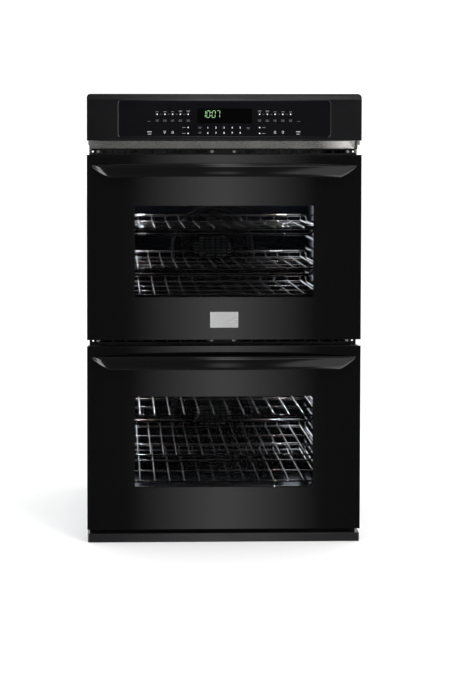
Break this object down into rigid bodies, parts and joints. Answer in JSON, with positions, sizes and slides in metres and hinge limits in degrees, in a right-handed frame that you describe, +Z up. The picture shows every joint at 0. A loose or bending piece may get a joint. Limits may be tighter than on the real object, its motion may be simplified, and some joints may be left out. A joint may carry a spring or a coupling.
{
  "type": "double wall oven",
  "caption": "Built-in black double oven: stacked convection cavities behind drop-down glass doors with bowed handles, sliding wire racks, latches, fans and a touch panel on top.",
  "frame": {"origin": "middle of the base, halfway across the width and halfway through the depth, on the surface the oven stands on", "axes": "+X to the right as seen from the front, +Y from the doors towards the back, +Z up"},
  "size_m": [0.762, 0.69, 1.25],
  "materials": {
    "galvanised_sheet": "galvanised steel sheet, folded",
    "black_trim": "gloss black powder coat on folded steel",
    "frame_enamel": "black porcelain enamel",
    "cavity_enamel": "blue-black porcelain enamel with fine speckle",
    "bright_trim": "bright zinc-plated steel, folded",
    "insulation": "mineral wool blanket",
    "gasket_braid": "glass-fibre braid",
    "heater_sheath": "heat-tinted nickel alloy tube",
    "motor_steel": "zinc-plated pressed steel",
    "lamp_glass": "heat-proof glass",
    "probe_steel": "stainless tube",
    "panel_plastic": "gloss black moulding",
    "touch_glass": "back-printed black glass",
    "display": "dark display window",
    "circuit_board": "green epoxy board",
    "cast_aluminium": "pressed aluminium",
    "rack_chrome": "chrome-plated steel wire",
    "door_glass": "back-printed black glass with a clear window",
    "clear_glass": "clear heat-proof glass",
    "door_steel": "black painted steel",
    "handle_paint": "gloss black lacquer on cast zinc",
    "hinge_steel": "zinc-plated steel",
    "plate_aluminium": "brushed aluminium"
  },
  "bodies": {
    "chassis": {"base_pan": "galvanised_sheet", "side_panel_left": "galvanised_sheet", "side_panel_right": "galvanised_sheet", "back_panel": "galvanised_sheet", "top_cover": "galvanised_sheet", "mid_deck": "galvanised_sheet", "upper_front_frame": "frame_enamel", "lower_front_frame": "frame_enamel", "upper_liner": "cavity_enamel", "lower_liner": "cavity_enamel", "insulation_blankets": "insulation", "door_gaskets": "gasket_braid", "upper_fan_cover": "cavity_enamel", "lower_fan_cover": "cavity_enamel", "convection_elements": "heater_sheath", "broil_elements": "heater_sheath", "bake_elements": "heater_sheath", "fan_motors": "motor_steel", "oven_lamps": "lamp_glass", "temperature_probes": "probe_steel", "side_trim_left": "black_trim", "side_trim_right": "black_trim", "vent_trim": "bright_trim", "panel_brackets": "bright_trim", "bottom_trim": "black_trim", "control_bezel": "panel_plastic", "touch_glass": "touch_glass", "display_module": "display", "control_board": "circuit_board", "relay_board": "circuit_board", "blower_housing": "motor_steel", "air_duct": "galvanised_sheet", "junction_box": "galvanised_sheet", "hinge_arms": "hinge_steel", "latch_motors": "motor_steel", "body_screws": "hinge_steel"},
    "upper_door": {"upper_door_glass": "door_glass", "upper_door_frame": "door_steel", "upper_door_liner": "cavity_enamel", "upper_door_panes": "clear_glass", "upper_door_handle": "handle_paint", "upper_door_hinges": "hinge_steel", "name_plate": "plate_aluminium"},
    "upper_rack_top": {"upper_rack_top": "rack_chrome"},
    "upper_rack_middle": {"upper_rack_middle": "rack_chrome"},
    "upper_rack_bottom": {"upper_rack_bottom": "rack_chrome"},
    "upper_fan": {"upper_fan": "cast_aluminium"},
    "upper_latch_hook": {"upper_latch_hook": "hinge_steel"},
    "lower_door": {"lower_door_glass": "door_glass", "lower_door_frame": "door_steel", "lower_door_liner": "cavity_enamel", "lower_door_panes": "clear_glass", "lower_door_handle": "handle_paint", "lower_door_hinges": "hinge_steel"},
    "lower_rack_top": {"lower_rack_top": "rack_chrome"},
    "lower_rack_middle": {"lower_rack_middle": "rack_chrome"},
    "lower_rack_bottom": {"lower_rack_bottom": "rack_chrome"},
    "lower_fan": {"lower_fan": "cast_aluminium"},
    "lower_latch_hook": {"lower_latch_hook": "hinge_steel"},
    "blower_wheel": {"blower_wheel": "cast_aluminium"}
  },
  "joints": [
    {"name": "upper_door_hinge", "type": "hinge", "parent": "chassis", "child": "upper_door", "pos_m": [0, -0.269, 0.582], "axis": [1, 0, 0], "range_deg": [0, 90], "stiffness_Nm_per_rad": 12, "springref_deg": -34.38},
    {"name": "lower_door_hinge", "type": "hinge", "parent": "chassis", "child": "lower_door", "pos_m": [0, -0.269, 0.051], "axis": [1, 0, 0], "range_deg": [0, 90], "stiffness_Nm_per_rad": 12, "springref_deg": -34.38},
    {"name": "upper_top_rack_slide", "type": "slide", "parent": "chassis", "child": "upper_rack_top", "axis": [0, -1, 0], "range_m": [0, 0.3]},
    {"name": "upper_middle_rack_slide", "type": "slide", "parent": "chassis", "child": "upper_rack_middle", "axis": [0, -1, 0], "range_m": [0, 0.25]},
    {"name": "upper_bottom_rack_slide", "type": "slide", "parent": "chassis", "child": "upper_rack_bottom", "axis": [0, -1, 0], "range_m": [0, 0.15]},
    {"name": "lower_top_rack_slide", "type": "slide", "parent": "chassis", "child": "lower_rack_top", "axis": [0, -1, 0], "range_m": [0, 0.3]},
    {"name": "lower_middle_rack_slide", "type": "slide", "parent": "chassis", "child": "lower_rack_middle", "axis": [0, -1, 0], "range_m": [0, 0.25]},
    {"name": "lower_bottom_rack_slide", "type": "slide", "parent": "chassis", "child": "lower_rack_bottom", "axis": [0, -1, 0], "range_m": [0, 0.15]},
    {"name": "upper_fan_spin", "type": "hinge", "parent": "chassis", "child": "upper_fan", "pos_m": [0, 0.2, 0.79], "axis": [0, 1, 0], "continuous": true},
    {"name": "upper_latch_turn", "type": "hinge", "parent": "chassis", "child": "upper_latch_hook", "pos_m": [0, -0.224, 1.061], "axis": [0, 0, 1], "range_deg": [0, 75]},
    {"name": "lower_fan_spin", "type": "hinge", "parent": "chassis", "child": "lower_fan", "pos_m": [0, 0.2, 0.259], "axis": [0, 1, 0], "continuous": true},
    {"name": "lower_latch_turn", "type": "hinge", "parent": "chassis", "child": "lower_latch_hook", "pos_m": [0, -0.224, 0.53], "axis": [0, 0, 1], "range_deg": [0, 75]},
    {"name": "blower_spin", "type": "hinge", "parent": "chassis", "child": "blower_wheel", "pos_m": [0, 0.17, 1.106], "axis": [0, 0, 1], "continuous": true}
  ],
  "couplings": [
    {"joint": "upper_top_rack_slide", "follows": "upper_door_hinge", "m_per_rad": 0.19},
    {"joint": "upper_middle_rack_slide", "follows": "upper_door_hinge", "m_per_rad": 0.158},
    {"joint": "upper_bottom_rack_slide", "follows": "upper_door_hinge", "m_per_rad": 0.095},
    {"joint": "lower_top_rack_slide", "follows": "lower_door_hinge", "m_per_rad": 0.19},
    {"joint": "lower_middle_rack_slide", "follows": "lower_door_hinge", "m_per_rad": 0.158},
    {"joint": "lower_bottom_rack_slide", "follows": "lower_door_hinge", "m_per_rad": 0.095}
  ]
}
